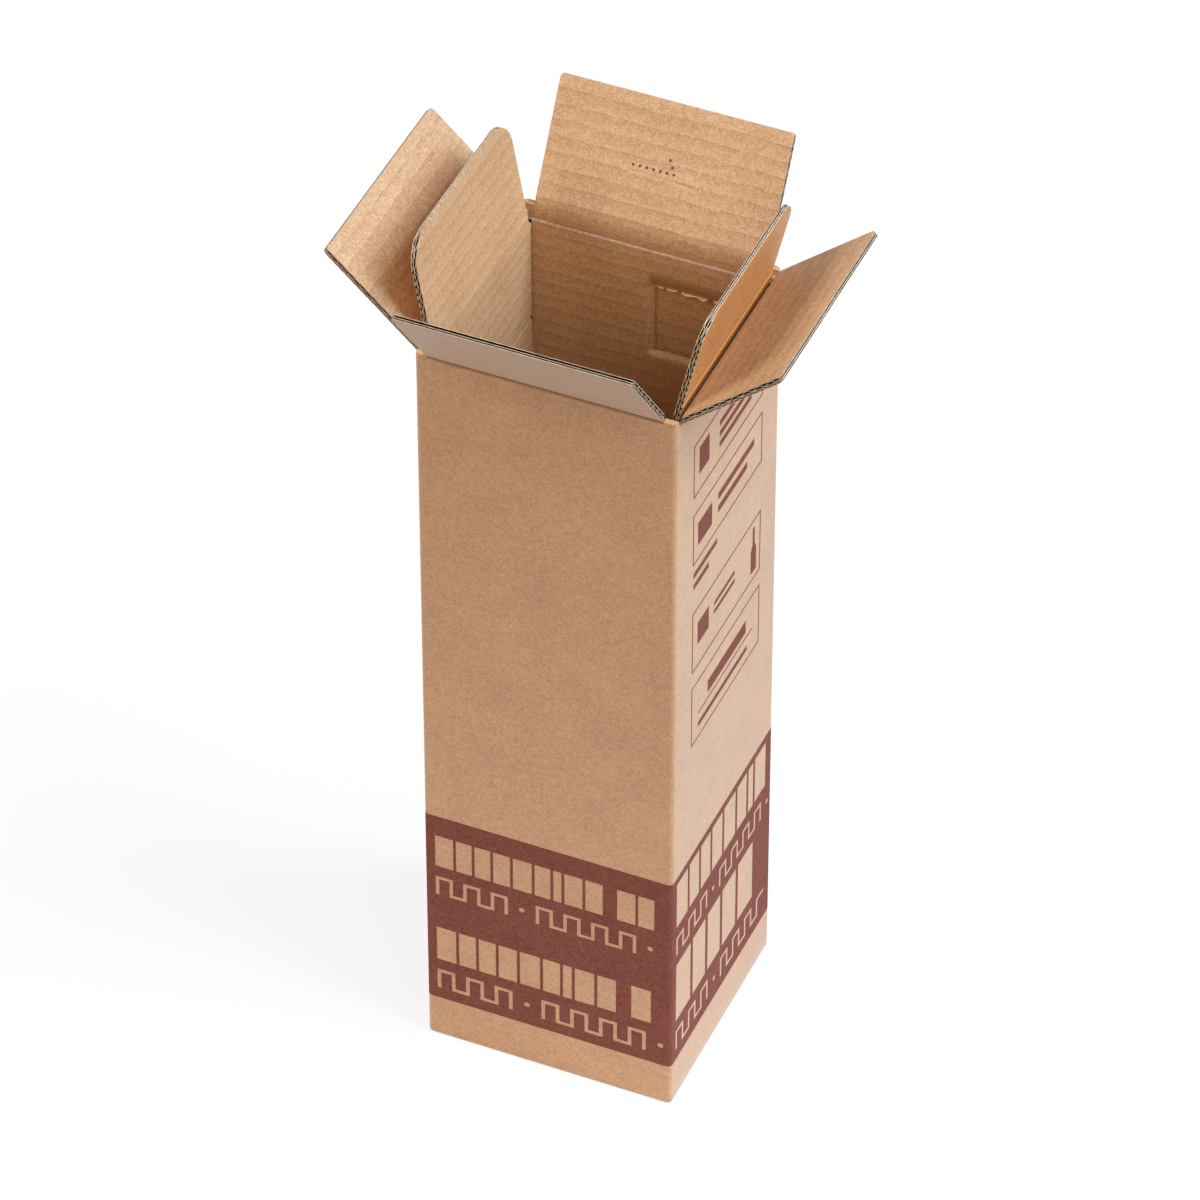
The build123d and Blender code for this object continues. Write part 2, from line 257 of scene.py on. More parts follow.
# the fluting is nearly black: painted shade for the cavities between the facings
fluting_painted_shade = kraft("fluting_painted_shade", linear(42, 29, 20), linear(80, 57, 40), grain=0.12)
cut_paper = kraft("cut_paper", linear(156, 121, 88), linear(234, 200, 164), grain=0.12)
insert_paper = kraft("insert_paper", linear(168, 104, 49), linear(215, 150, 82), gloss=0.6)
BOARD_PAPERS = [outside_paper, inside_paper, cut_paper, fluting_painted_shade]
INSERT_PAPERS = [insert_paper, inside_paper, cut_paper, fluting_painted_shade]
OUTSIDE, INSIDE, CUT, FLUTING = range(4)
print("finishes:", ", ".join(paper.name for paper in BOARD_PAPERS + INSERT_PAPERS[:1]))

# %% [markdown]
# ## Corrugated board
#
# Double-wall board is five sheets of paper: an outer facing, small flutes, a middle
# facing, large flutes and an inner facing. The cut ends of the flaps show all five, so a
# slab with stripes painted on its edge wouldn't do. The board is made flat, as it comes
# off the machine. Here x runs along the flutes, y across them with 0 at the crease, and z
# out of the outer face. Each facing is a grid that is cut to its outline and extruded to
# the thickness of paper. Each row of flutes is a grid that is raised and lowered by a
# sine, then given its thickness.

# %% Helpers for bmesh
def everything(bm):
    return bm.verts[:] + bm.edges[:] + bm.faces[:]


def slice_at(bm, point, normal, clear=False):
    """Cuts along a plane, and clears what is on its outer side if asked."""
    bmesh.ops.bisect_plane(
        bm, geom=everything(bm), dist=1e-7, plane_co=point, plane_no=normal, clear_outer=clear
    )


def drop_faces(bm, unwanted):
    """Deletes each face whose middle passes the test."""
    gone = [face for face in bm.faces if unwanted(face.calc_center_median())]
    bmesh.ops.delete(bm, geom=gone, context="FACES")


def join(into, bm):
    """Adds one bmesh to another, and frees it."""
    mesh = bpy.data.meshes.new("joined")
    bm.to_mesh(mesh)
    bm.free()
    into.from_mesh(mesh)
    bpy.data.meshes.remove(mesh)


def flat_grid(half_span, low, high, columns, rows):
    """A flat grid from -half_span to half_span and from low to high."""
    bm = bmesh.new()
    size = Matrix.Diagonal((2 * half_span, high - low, 1, 1))
    place = Matrix.Translation((0, (low + high) / 2, 0)) @ size
    bmesh.ops.create_grid(bm, x_segments=columns, y_segments=rows, size=0.5, matrix=place)
    return bm


# %% One facing and one row of flutes
PAPER = 0.28 * MM
SKIN = 1.5 * PAPER  # what lies nearer the outer face than this is the outer facing


def facing(grid, cut, top, upper, lower):
    """Cuts a grid to its outline, and gives it a paper's thickness and its looks."""
    cut(grid)
    bmesh.ops.translate(grid, verts=grid.verts[:], vec=(0, 0, top))
    made = bmesh.ops.extrude_face_region(grid, geom=grid.faces[:], use_keep_orig=True)
    under = [part for part in made["geom"] if isinstance(part, bmesh.types.BMVert)]
    bmesh.ops.translate(grid, verts=under, vec=(0, 0, -PAPER))
    bmesh.ops.recalc_face_normals(grid, faces=grid.faces[:])
    for face in grid.faces:
        flat = abs(face.normal.z) > 0.5
        face.material_index = (upper if face.normal.z > 0 else lower) if flat else CUT
    return grid


def flutes(half_span, low, high, cut, top, bottom, pitch, fineness):
    """A row of flutes that fills the gap between two facings."""
    grid = flat_grid(half_span, low, high, 1, max(4, round(fineness * (high - low) / pitch)))
    cut(grid)
    for vert in grid.verts:
        swing = (top - bottom - PAPER) / 2 * sin(2 * pi * vert.co.y / pitch)
        vert.co.z = (top + bottom + PAPER) / 2 + swing
    bmesh.ops.recalc_face_normals(grid, faces=grid.faces[:])
    bmesh.ops.solidify(grid, geom=grid.faces[:], thickness=PAPER)
    for face in grid.faces:
        face.material_index = CUT if abs(face.normal.x) > 0.3 else FLUTING
    return grid


# %% [markdown]
# A board joins the five. Its outline is convex for every flap, so cutting the grids with
# planes is enough, and a rounded corner is a few planes that touch its arc. Where a blade
# cuts along the flutes it crushes them, so the tip of a board is thinner and more closed.

# %% A flat board
MIDDLE_FACING = 0.42  # how deep the middle facing lies, as a share of the thickness
TIP_CUT, TIP_CRUSH = 0.9 * MM, 2.6 * MM


def flap_outline(half_span, length, radius, steps=8):
    """A cut that trims a sheet to a flap with rounded tip corners."""
    planes = [((0, length, 0), (0, 1, 0)), ((half_span, 0, 0), RIGHT), ((-half_span, 0, 0), LEFT)]
    for side in (-1, 1):
        middle = Vector((side * (half_span - radius), length - radius, 0))
        for step in range(1, steps):
            angle = pi / 2 * step / steps
            out = Vector((side * sin(angle), cos(angle), 0))
            planes.append((middle + out * radius, out))

    def cut(bm):
        for point, normal in planes:
            slice_at(bm, point, normal, clear=True)

    return cut


def flat_board(half_span, low, high, thickness, cut, columns=14, rows=12, mitre=False, fineness=14):
    """All five sheets of the board, flat, with the outer face at z 0."""
    middle = -MIDDLE_FACING * thickness
    board = bmesh.new()
    for top, upper, lower in (
        (0, OUTSIDE, FLUTING),
        (middle + PAPER / 2, FLUTING, FLUTING),
        (PAPER - thickness, FLUTING, INSIDE),
    ):
        span = half_span + top if mitre else half_span
        join(board, facing(flat_grid(span, low, high, columns, rows), cut, top, upper, lower))
    for top, bottom, pitch in (
        (-PAPER, middle + PAPER / 2, SMALL_PITCH),
        (middle - PAPER / 2, PAPER - thickness, FLUTE_PITCH),
    ):
        span = half_span + bottom if mitre else half_span
        join(board, flutes(span, low, high, cut, top, bottom, pitch, fineness))
    return board


def trim_tip(bm, tip, anchor, pinch):
    """Crushes the board towards one of its faces where the blade cut it along the flutes."""
    for face in bm.faces:
        if face.material_index == FLUTING and face.calc_center_median().y > tip - TIP_CUT:
            face.material_index = CUT
    for vert in bm.verts:
        share = pinch * smooth_step(vert.co.y, tip - TIP_CRUSH, tip)
        vert.co.z = anchor + (vert.co.z - anchor) * (1 - share)


# %% [markdown]
# Then the flat board is folded into place. What is above the crease leans outwards, and
# the turn is spread over three millimetres, as paper does. A crease is made by crushing
# the board, so the board is thinner there. Outside, where the flap leans back on its
# wall, the facing has nowhere to go and stands up in a small ridge below the crease.

# %% Fold a board at its crease
BEND = 1.5 * MM
CREASE_LOW = -8 * MM
CREASE_HIGH = 3.3 * MM
GROOVE, GROOVE_WIDTH, GROOVE_DEPTH = -0.9 * MM, 0.55 * MM, 1.5
RIDGE, RIDGE_WIDTH, RIDGE_HEIGHT = -2.3 * MM, 0.5 * MM, 1.15


def smooth_step(value, low, high):
    share = min(1.0, max(0.0, (value - low) / (high - low)))
    return share * share * (3 - 2 * share)


def hump(value, middle, width):
    return exp(-(((value - middle) / width) ** 2))


def crush(bm, thickness, depth, width):
    """Crushes the board along its crease, with a groove and a broken ridge outside it, painted
    shade in the groove and painted highlight on the ridge.
    """
    wear_and_painted_light = bm.verts.layers.float.new("wear_and_painted_light")
    for vert in bm.verts:
        x, y, z = vert.co
        # the ridge comes and goes along the crease
        swell = max(0, 0.3 + 1.5 * noise.noise(Vector((x * 70, thickness * 4000, 0))))
        groove = hump(y, GROOVE, GROOVE_WIDTH)
        ridge = swell * hump(y, RIDGE, RIDGE_WIDTH)
        rise = (1 - depth) * (RIDGE_HEIGHT * ridge - GROOVE_DEPTH * groove)
        # painted shade darkens the groove, and painted highlight pales the ridge
        if z > -SKIN:
            vert[wear_and_painted_light] = 1.2 * ridge - 0.9 * groove
        vert.co.z = z * (1 - depth * hump(y, 0, width)) + rise * MM * (1 + z / thickness)


def fold_up(bm, outward, reach, height, lean=0.0):
    """Stands a flat board in its wall, and leans it outwards above its crease."""
    across = UP.cross(outward)
    foot = outward * reach + UP * height
    sheet = bm.verts.layers.float_vector.new("sheet")
    for vert in bm.verts:
        x, y, z = vert.co
        vert[sheet] = foot + across * x + UP * y + outward * z
        turn = lean * smooth_step(y, -BEND, BEND)
        rise = y * cos(turn) - z * sin(turn)
        out = y * sin(turn) + z * cos(turn)
        vert.co = foot + across * x + UP * rise + outward * out


def finish_piece(name, bm, papers):
    """Turns a bmesh into an object at the origin, with its papers."""
    mesh = bpy.data.meshes.new(name)
    bm.to_mesh(mesh)
    bm.free()
    mesh.shade_smooth()
    mesh.set_sharp_from_angle(angle=radians(35))
    for paper in papers:
        mesh.materials.append(paper)
    piece = bpy.data.objects.new(name, mesh)
    bpy.context.scene.collection.objects.link(piece)
    print(f"{name}: {len(mesh.polygons)} faces")
    return piece


# %% [markdown]
# ## Flaps
#
# There are four flaps on the carton and two on the insert. Each is two pieces: the flap
# itself, which is stiff and rides on its body, and a strip of board that crosses the
# crease, folded once to the flap's lean. The strip fills a notch in the wall, flush with it.
# On the insert's flaps the creasing rule has also left a low band outside, above the
# crease, and their strips widen below it, because the panels they hang on are wider.

# %% Make the six flaps
# the band is paled as painted highlight
BAND_HEIGHT, BAND_PAINTED_HIGHLIGHT = 0.25 * MM, 2.5


def raise_band(bm, low=8.5 * MM, high=11.5 * MM, ramp=0.4 * MM):
    """Raises the outer facing a little between two lines above the crease, and pales it as painted
    highlight.
    """
    for height in (low, low + ramp, high - ramp, high):
        slice_at(bm, (0, height, 0), BACK)
    wear_and_painted_light = bm.verts.layers.float.new("wear_and_painted_light")
    for vert in bm.verts:
        if vert.co.z > -SKIN:
            rise = smooth_step(vert.co.y, low, low + ramp)
            rise -= smooth_step(vert.co.y, high - ramp, high)
            vert.co.z += BAND_HEIGHT * rise
            vert[wear_and_painted_light] = BAND_PAINTED_HIGHLIGHT * rise


# body: node, outward, reach, lean, thickness, corner radius, share crushed and its width
FLAPS = {
    "front_flap": ("carton_front_flap", FRONT, half_depth, 37, carton_board, 1.5, 0.4, 1.5),
    "back_flap": ("carton_back_flap", BACK, half_depth, 30, carton_board, 1.5, 0.15, 1.5),
    "left_flap": ("carton_left_flap", LEFT, half_width, 47, carton_board, 1.5, 0.9, 2.2),
    "right_flap": ("carton_right_flap", RIGHT, half_width, 50, carton_board, 1.5, 0.9, 2.2),
    "insert_left": (
        "insert_left_flap", LEFT, insert_half_width, 10, insert_board, 15, 0.05, 1.5
    ),
    "insert_right": (
        "insert_right_flap", RIGHT, insert_half_width, 13, insert_board, 15, 0.15, 1.5
    ),
}
WIDER = 2.2 * MM
half_spans = {}

for body, (node, outward, reach, degrees, thickness, radius, *crushed) in FLAPS.items():
    slot = node.split("_")[0] + "_board"
    papers = INSERT_PAPERS if slot == "insert_board" else BOARD_PAPERS
    low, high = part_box(node)
    lean = radians(degrees)
    height = creases[body].z
    half_spans[body] = high.y if abs(outward.x) > 0.5 else high.x
    length = (high.z - height - thickness * sin(lean)) / cos(lean)
    outline = flap_outline(half_spans[body], length, radius * MM)

    flap = flat_board(half_spans[body], CREASE_HIGH, length, thickness, outline, rows=20)
    trim_tip(flap, length, -thickness / 2, 0.25)
    if slot == "insert_board":
        raise_band(flap)
    fold_up(flap, outward, reach, height, lean)
    flap = finish_piece(node + "_board", flap, papers)
    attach(flap, body)
    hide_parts(node)

    strip = flat_board(
        half_spans[body], CREASE_LOW, CREASE_HIGH, thickness, outline, columns=44, rows=24
    )
    crush(strip, thickness, crushed[0], crushed[1] * MM)
    if slot == "insert_board":
        for vert in strip.verts:
            vert.co.x *= 1 + WIDER / half_spans[body] * smooth_step(-vert.co.y, 0, MM)
    fold_up(strip, outward, reach, height, lean)
    strip = finish_piece(node + "_crease", strip, papers)
    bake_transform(strip)

# %% [markdown]
# ## Carton walls
#
# The four walls are one sheet folded round. A box primitive with its top and bottom taken
# off and its upright edges bevelled gives the outer face. Planes cut it where the notches
# for the crease strips begin, and the faces in the notches are deleted. Then the skin is
# extruded and the new points are moved in to the inner faces, which leaves the inner
# corners sharp, as they are in a folded carton.

# %% Skin of the walls
FOLD_RADIUS, FOLD_STEPS = 2.4 * MM, 8
CREASE_GAP = 0.2 * MM
# how much the folds of the walls are paled, by wear and painted highlight
CORNER_WEAR_AND_HIGHLIGHT = 0.2

walls = bmesh.new()
wall_top = end_crease - CREASE_GAP
side_top = side_crease - CREASE_GAP
size = Matrix.Diagonal((2 * half_width, 2 * half_depth, wall_top - floor_top, 1))
bmesh.ops.create_cube(
    walls, size=1, matrix=Matrix.Translation((0, 0, (wall_top + floor_top) / 2)) @ size
)
ends = [face for face in walls.faces if abs(face.normal.z) > 0.5]
bmesh.ops.delete(walls, geom=ends, context="FACES_ONLY")
upright = [edge for edge in walls.edges if abs((edge.verts[0].co - edge.verts[1].co).z) > 0.1]
bmesh.ops.bevel(
    walls, geom=upright, offset=FOLD_RADIUS, offset_type="OFFSET", segments=FOLD_STEPS,
    profile=0.5, affect="EDGES", material=-1,
)

for height in (end_crease + CREASE_LOW, side_crease + CREASE_LOW, side_top):
    slice_at(walls, (0, 0, height), UP)
for side in (-1, 1):
    for across in (half_spans["front_flap"], half_width - carton_board - CREASE_GAP):
        slice_at(walls, (side * across, 0, 0), RIGHT)
    for across in (half_spans["left_flap"], half_depth - carton_board):
        slice_at(walls, (0, side * across, 0), BACK)


def in_notch(middle):
    """True in the notches of the crease strips, and above the low side walls."""
    if abs(middle.y) > half_depth - 0.1 * MM:
        return abs(middle.x) < half_spans["front_flap"] and middle.z > end_crease + CREASE_LOW
    if abs(middle.x) > half_width - 0.1 * MM:
        notch = abs(middle.y) < half_spans["left_flap"] and middle.z > side_crease + CREASE_LOW
        return notch or (abs(middle.y) < half_depth - carton_board and middle.z > side_top)
    return False


drop_faces(walls, in_notch)
print("skin of the walls:", len(walls.faces), "faces")

# %% Thickness, folds and finish of the walls
made = bmesh.ops.extrude_face_region(walls, geom=walls.faces[:], use_keep_orig=True)
inner_verts = [part for part in made["geom"] if isinstance(part, bmesh.types.BMVert)]
inner_x, inner_y = half_width - carton_board, half_depth - carton_board
for vert in inner_verts:
    vert.co.x = min(inner_x, max(-inner_x, vert.co.x))
    vert.co.y = min(inner_y, max(-inner_y, vert.co.y))
bmesh.ops.remove_doubles(walls, verts=walls.verts[:], dist=1e-6)
bmesh.ops.recalc_face_normals(walls, faces=walls.faces[:])


def dress_walls(bm, inner_x, inner_y):
    """Gives the walls their paper, and folds paled by wear and painted highlight."""
    sheet = bm.verts.layers.float_vector.new("sheet")
    wear_and_painted_light = bm.verts.layers.float.new("wear_and_painted_light")
    for vert in bm.verts:
        vert[sheet] = vert.co
        aside = min(half_width - abs(vert.co.x), half_depth - abs(vert.co.y))
        corner = half_width - abs(vert.co.x) + half_depth - abs(vert.co.y)
        # the folds are paled: wear, and painted highlight
        if aside < MM:
            wear_and_painted_highlight = smooth_step(FOLD_RADIUS * 1.2 - corner, 0, FOLD_RADIUS)
            vert[wear_and_painted_light] = CORNER_WEAR_AND_HIGHLIGHT * wear_and_painted_highlight
    for face in bm.faces:
        middle = face.calc_center_median()
        inner = abs(middle.x) < inner_x + 1e-5 and abs(middle.y) < inner_y + 1e-5
        face.material_index = INSIDE if inner else OUTSIDE


dress_walls(walls, inner_x, inner_y)
walls = finish_piece("carton_walls", walls, BOARD_PAPERS)
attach(walls, "box")

# %% [markdown]
# ## Base
#
# The base is two layers of flaps, folded in and glued. From below a single seam shows,
# close to the front fold, and from above another runs across the middle. A box primitive
# with rounded lower edges is enough, with each seam cut by two planes and sunk.

# %% Make the base
FOOT_RADIUS, FOOT_STEPS = 1.4 * MM, 5
SEAM_REACH = 59 * MM  # half a seam's length
LOWER_SEAM = -56.5 * MM

base = bmesh.new()
size = Matrix.Diagonal((2 * half_width, 2 * half_depth, floor_top, 1))
bmesh.ops.create_cube(base, size=1, matrix=Matrix.Translation((0, 0, floor_top / 2)) @ size)
upright = [edge for edge in base.edges if abs((edge.verts[0].co - edge.verts[1].co).z) > MM]
bmesh.ops.bevel(
    base, geom=upright, offset=FOLD_RADIUS, offset_type="OFFSET", segments=FOLD_STEPS,
    profile=0.5, affect="EDGES", material=-1,
)
lower = [edge for edge in base.edges if max(vert.co.z for vert in edge.verts) < 1e-5]
bmesh.ops.bevel(
    base, geom=lower, offset=FOOT_RADIUS, offset_type="OFFSET", segments=FOOT_STEPS,
    profile=0.5, affect="EDGES", material=-1,
)


def sink_seam(bm, along, middle, facing_up, width=0.8 * MM, depth=2.2 * MM):
    """Cuts a straight seam into the upper or lower face. Along is its direction."""
    across = UP.cross(along)
    for side in (-1, 1):
        slice_at(bm, across * (middle + side * width / 2), across)
        slice_at(bm, along * side * SEAM_REACH, along)
    wanted = []
    for face in bm.faces:
        place = face.calc_center_median()
        near = abs(place.dot(across) - middle) < width / 2 and abs(place.dot(along)) < SEAM_REACH
        if near and face.normal.z * facing_up > 0.9:
            wanted.append(face)
    made = bmesh.ops.extrude_face_region(bm, geom=wanted)
    moved = [part for part in made["geom"] if isinstance(part, bmesh.types.BMVert)]
    bmesh.ops.translate(bm, verts=moved, vec=(0, 0, -facing_up * depth))
    left_over = [face for face in wanted if face.is_valid]
    bmesh.ops.delete(bm, geom=left_over, context="FACES_ONLY")


sink_seam(base, RIGHT, LOWER_SEAM, facing_up=-1)
sink_seam(base, BACK, 0, facing_up=1)
bmesh.ops.recalc_face_normals(base, faces=base.faces[:])
sheet = base.verts.layers.float_vector.new("sheet")
for vert in base.verts:
    vert[sheet] = vert.co
for face in base.faces:
    face.material_index = INSIDE if face.normal.z > 0.5 else OUTSIDE
base = finish_piece("carton_base", base, BOARD_PAPERS)
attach(base, "box")
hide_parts("carton_body")

# %% [markdown]
# ## Insert
#
# The insert stands on the base and lines the walls. Its four panels are boards like the
# flaps, mitred where they meet. The side panels are narrower above their shoulders, where
# slots cut them free, and have a cross crease. Slots and shoulders aren't convex, so here
# planes only score the grids and a test on each face's place decides what is dropped.

# %% Panels at the sides
CROSS_CREASE_DEPTH = 62 * MM  # below the rim
SHOULDER_DROP = 17 * MM
CROSS_CREASE_CRUSH = 0.22
SLOT_EDGE = half_spans["insert_left"] + WIDER
bore_half_depth = insert_half_depth - insert_board
cross_crease = end_crease - CROSS_CREASE_DEPTH
shoulder_foot = cross_crease - SHOULDER_DROP
panel_foot = floor_top - insert_crease


def side_outline(bm):
    """Frees the upper part of a side panel, down to its sloping shoulders."""
    foot, head = shoulder_foot - insert_crease, cross_crease - insert_crease
    for side in (-1, 1):
        slope = Vector((side * (head - foot), bore_half_depth - SLOT_EDGE, 0))
        slice_at(bm, (side * SLOT_EDGE, 0, 0), RIGHT)
        slice_at(bm, (side * SLOT_EDGE, head, 0), slope)
    for height in (foot, head):
        slice_at(bm, (0, height, 0), BACK)

    def beyond(middle):
        edge = SLOT_EDGE
        if middle.y < head:
            edge += (bore_half_depth - SLOT_EDGE) * (head - middle.y) / (head - foot)
        return middle.y > foot and abs(middle.x) > edge

    drop_faces(bm, beyond)
    for step in range(-4, 5):
        slice_at(bm, (0, head + step * 0.6 * MM, 0), BACK)


insert = bmesh.new()
for outward in (LEFT, RIGHT):
    panel = flat_board(
        insert_half_depth, panel_foot, CREASE_LOW, insert_board, side_outline, 14, 40,
        mitre=True, fineness=8,
    )
    for vert in panel.verts:
        crushed = hump(vert.co.y, cross_crease - insert_crease, 1.1 * MM)
        vert.co.z *= 1 - CROSS_CREASE_CRUSH * crushed
    fold_up(panel, outward, insert_half_width, insert_crease)
    join(insert, panel)
print("side panels:", len(insert.faces), "faces")

# %% [markdown]
# The back panel has a window that was torn out by hand, so its upper edge is ragged, and
# each of the three facings tore along its own line; here the inner facing has a line of
# its own, and the other two share one. The top edges of the front and back panels are cut
# through the flutes, which the blade crushed.

# %% Panels at the front and back
WINDOW = [3.0 * MM, 43.0 * MM]  # from the panel's middle, towards the right wall
WINDOW_FOOT, WINDOW_HEAD = 63.5 * MM, 27.0 * MM  # below the rim
TEAR_STEP = 1.25 * MM
TEAR_ASIDE, TEAR_ABOVE, TEAR_BELOW = 2.4 * MM, 5 * MM, 1.6 * MM  # how far tearing crushed
TEAR_CRUSH = 0.8
window_low = end_crease - WINDOW_FOOT - insert_crease
window_high = end_crease - WINDOW_HEAD - insert_crease


def plain_outline(bm):
    for step in range(5):
        slice_at(bm, (0, -step * 0.8 * MM, 0), BACK)


def window_outline(bm):
    """Scores and drops the window, with a column at each step along the torn edge."""
    plain_outline(bm)
    for step in range(33):
        slice_at(bm, (-WINDOW[0] - step * TEAR_STEP, 0, 0), RIGHT)
    for height in (window_low, window_high, window_high + 0.5 * MM):
        slice_at(bm, (0, height, 0), BACK)
    drop_faces(
        bm,
        lambda middle: -WINDOW[1] < middle.x < -WINDOW[0] and window_low < middle.y < window_high,
    )
    for step in range(1, 8):
        slice_at(bm, (0, window_high + step * 1.4 * MM, 0), BACK)
        slice_at(bm, (0, window_low - step * 0.5 * MM, 0), BACK)
        slice_at(bm, (-WINDOW[0] + step * 0.6 * MM, 0, 0), RIGHT)
        slice_at(bm, (-WINDOW[1] - step * 0.6 * MM, 0, 0), RIGHT)


def tear(bm):
    """Crushes the board round the window, roughens and pales its torn edges, the upper one also
    with painted highlight, and darkens the board above it with painted shade.
    """
    wear_and_painted_light = bm.verts.layers.float.new("wear_and_painted_light")
    for vert in bm.verts:
        x, y, z = vert.co
        aside = max(0, x + WINDOW[0], -WINDOW[1] - x)
        above = max(0, y - window_high)
        below = max(0, window_low - y)
        away = (aside / TEAR_ASIDE) ** 2 + (above / TEAR_ABOVE) ** 2 + (below / TEAR_BELOW) ** 2
        vert.co.z = z * (1 - TEAR_CRUSH * exp(-away))
        # the inner facing tore along a line of its own, a little lower
        layer = 3.7 if z < -0.8 * insert_board else 0
        inside = smooth_step(-x, WINDOW[0], WINDOW[0] + 3 * MM)
        inside *= smooth_step(x, -WINDOW[1], -WINDOW[1] + 3 * MM)
        if abs(y - window_high) < 1e-6:
            ragged = 2.0 * noise.noise(Vector((x * 420, layer, 0)))
            ragged += noise.noise(Vector((x * 90, layer, 5)))
            vert.co.y += (ragged - 0.06 * layer) * MM * inside
            vert.co.z -= 0.25 * layer * MM * inside
            # the upper torn edge is paled: torn fibres, and painted highlight
            vert[wear_and_painted_light] = 3.0 * inside
        elif abs(y - window_low) < 1e-6:
            vert.co.y += noise.noise(Vector((x * 160, layer, 9))) * 0.8 * MM * inside
            vert[wear_and_painted_light] = 1.0 * inside
        elif above:
            # painted shade darkens the board just above the window
            vert[wear_and_painted_light] = -0.3 * hump(above, 2.5 * MM, 2.5 * MM) * hump(max(0, aside), 0, 4 * MM)


tear_line = window_low - 6 * MM
for outward, low, high, outline in (
    (FRONT, panel_foot, 0, plain_outline),
    (BACK, panel_foot, tear_line, lambda bm: None),
    (BACK, tear_line, 0, window_outline),
):
    panel = flat_board(
        insert_half_width, low, high, insert_board, outline, 14, 24, mitre=True, fineness=8
    )
    if outline is window_outline:
        tear(panel)
    trim_tip(panel, 0, -insert_board, 0.5)
    fold_up(panel, outward, insert_half_depth, insert_crease)
    join(insert, panel)

insert = finish_piece("insert_panels", insert, INSERT_PAPERS)
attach(insert, "box")
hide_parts("insert_sleeve")

# %% [markdown]
# ## Pricked holes
#
# A row of holes was pricked through the back flap, turning up at one end. Each has pushed
# up a small collar of paper. A cone with its tip cut off makes the collar, and a second,
# dark one inside it is painted shade for the hole. The press that holds the board also left
# a low ledge beside the row. A fine grid laid on the flap takes its relief from a few smooth
# steps, with painted highlight on the lip of the ledge and painted shade in a line below it.

# %% Prick the back flap
# each: how far to the right of the flap's middle, and how far above its crease
PRICK_PITCH = 3.25 * MM
pricks = [(-14.2 * MM + step * PRICK_PITCH, 27.7 * MM) for step in range(7)]
pricks += [(4.0 * MM, 30.6 * MM), (2.4 * MM, 33.6 * MM)]
# each in mm: lower radius, upper radius, height, and the finish
COLLAR, HOLE = (1.15, 0.75, 0.05, 0), (0.7, 0.62, 0.07, 1)
RELIEF_HALF_SPAN, RELIEF_LOW, RELIEF_HIGH = 24 * MM, 21 * MM, 37 * MM

# the dark inner cone is painted shade for the hole
hole_painted_shade = kraft("hole_painted_shade", linear(38, 24, 16), linear(62, 40, 26))
collars = bmesh.new()
for across, rise in pricks:
    for low_radius, high_radius, height, look in (COLLAR, HOLE):
        cone = bmesh.new()
        bmesh.ops.create_cone(
            cone, cap_ends=True, segments=14, radius1=high_radius * MM, radius2=low_radius * MM,
            depth=height * MM,
            matrix=Matrix.Translation((-across, rise, -carton_board - (0.18 + height / 2) * MM)),
        )
        for face in cone.faces:
            face.material_index = look
        join(collars, cone)
relief = flat_grid(RELIEF_HALF_SPAN, RELIEF_LOW, RELIEF_HIGH, 96, 48)
wear_and_painted_light = relief.verts.layers.float.new("wear_and_painted_light")
for vert in relief.verts:
    # in mm: how far to the right of the flap's middle, and how far above its crease
    across, rise = -vert.co.x / MM, vert.co.y / MM
    edge = smooth_step(24 - abs(across), 0, 4) * smooth_step(8 - abs(rise - 29), 0, 3)
    ledge = 24.6 - 0.12 * max(0, across - 4)
    push = smooth_step(across + 21, 0, 6) * smooth_step(17 - across, 0, 5)
    push *= smooth_step(rise, ledge, ledge + 0.9) * smooth_step(29.6 - rise, 0, 3)
    push += 0.9 * hump(across, -18, 2.5) * hump(rise, 24.5 - 0.3 * (across + 18), 1.0)
    vert.co.z = -carton_board - (0.01 + 0.2 * push * edge) * MM
    # painted highlight pales the lip under the ledge, and painted shade darkens a line below it
    painted_lip_highlight = smooth_step(across + 23, 0, 8) * smooth_step(19 - across, 0, 5)
    painted_lip_highlight *= hump(rise, ledge - 0.3, 0.9)
    painted_shade_share = 0.25 * smooth_step(across + 12, 0, 5) * hump(rise, ledge - 2.2, 0.8)
    vert[wear_and_painted_light] = edge * (1.1 * painted_lip_highlight - painted_shade_share)
bmesh.ops.reverse_faces(relief, faces=relief.faces[:])
join(collars, relief)
back_lean = radians(FLAPS["back_flap"][3])
fold_up(collars, BACK, half_depth, end_crease, back_lean)
collars = finish_piece("prick_collars", collars, [inside_paper, hole_painted_shade])
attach(collars, "back_flap")

# %% [markdown]
# ## Print
#
# The print stays as the CAD made it: a skin of ink on the walls, with bare shapes where
# the board shows. Ink on kraft paper isn't even. The paper's clouds show through, and
# where a fibre stands up the ink is thin. These nodes have no sheet attribute, so their
# pattern reads Object coordinates, which are the same place.

# %% Ink
INK_DARK, INK_LIGHT = linear(104, 46, 34), linear(142, 79, 62)
BARE_FIBRE = linear(176, 132, 104)
BARE_START, BARE_RISE = 0.62, 2.2  # where noise thins the ink

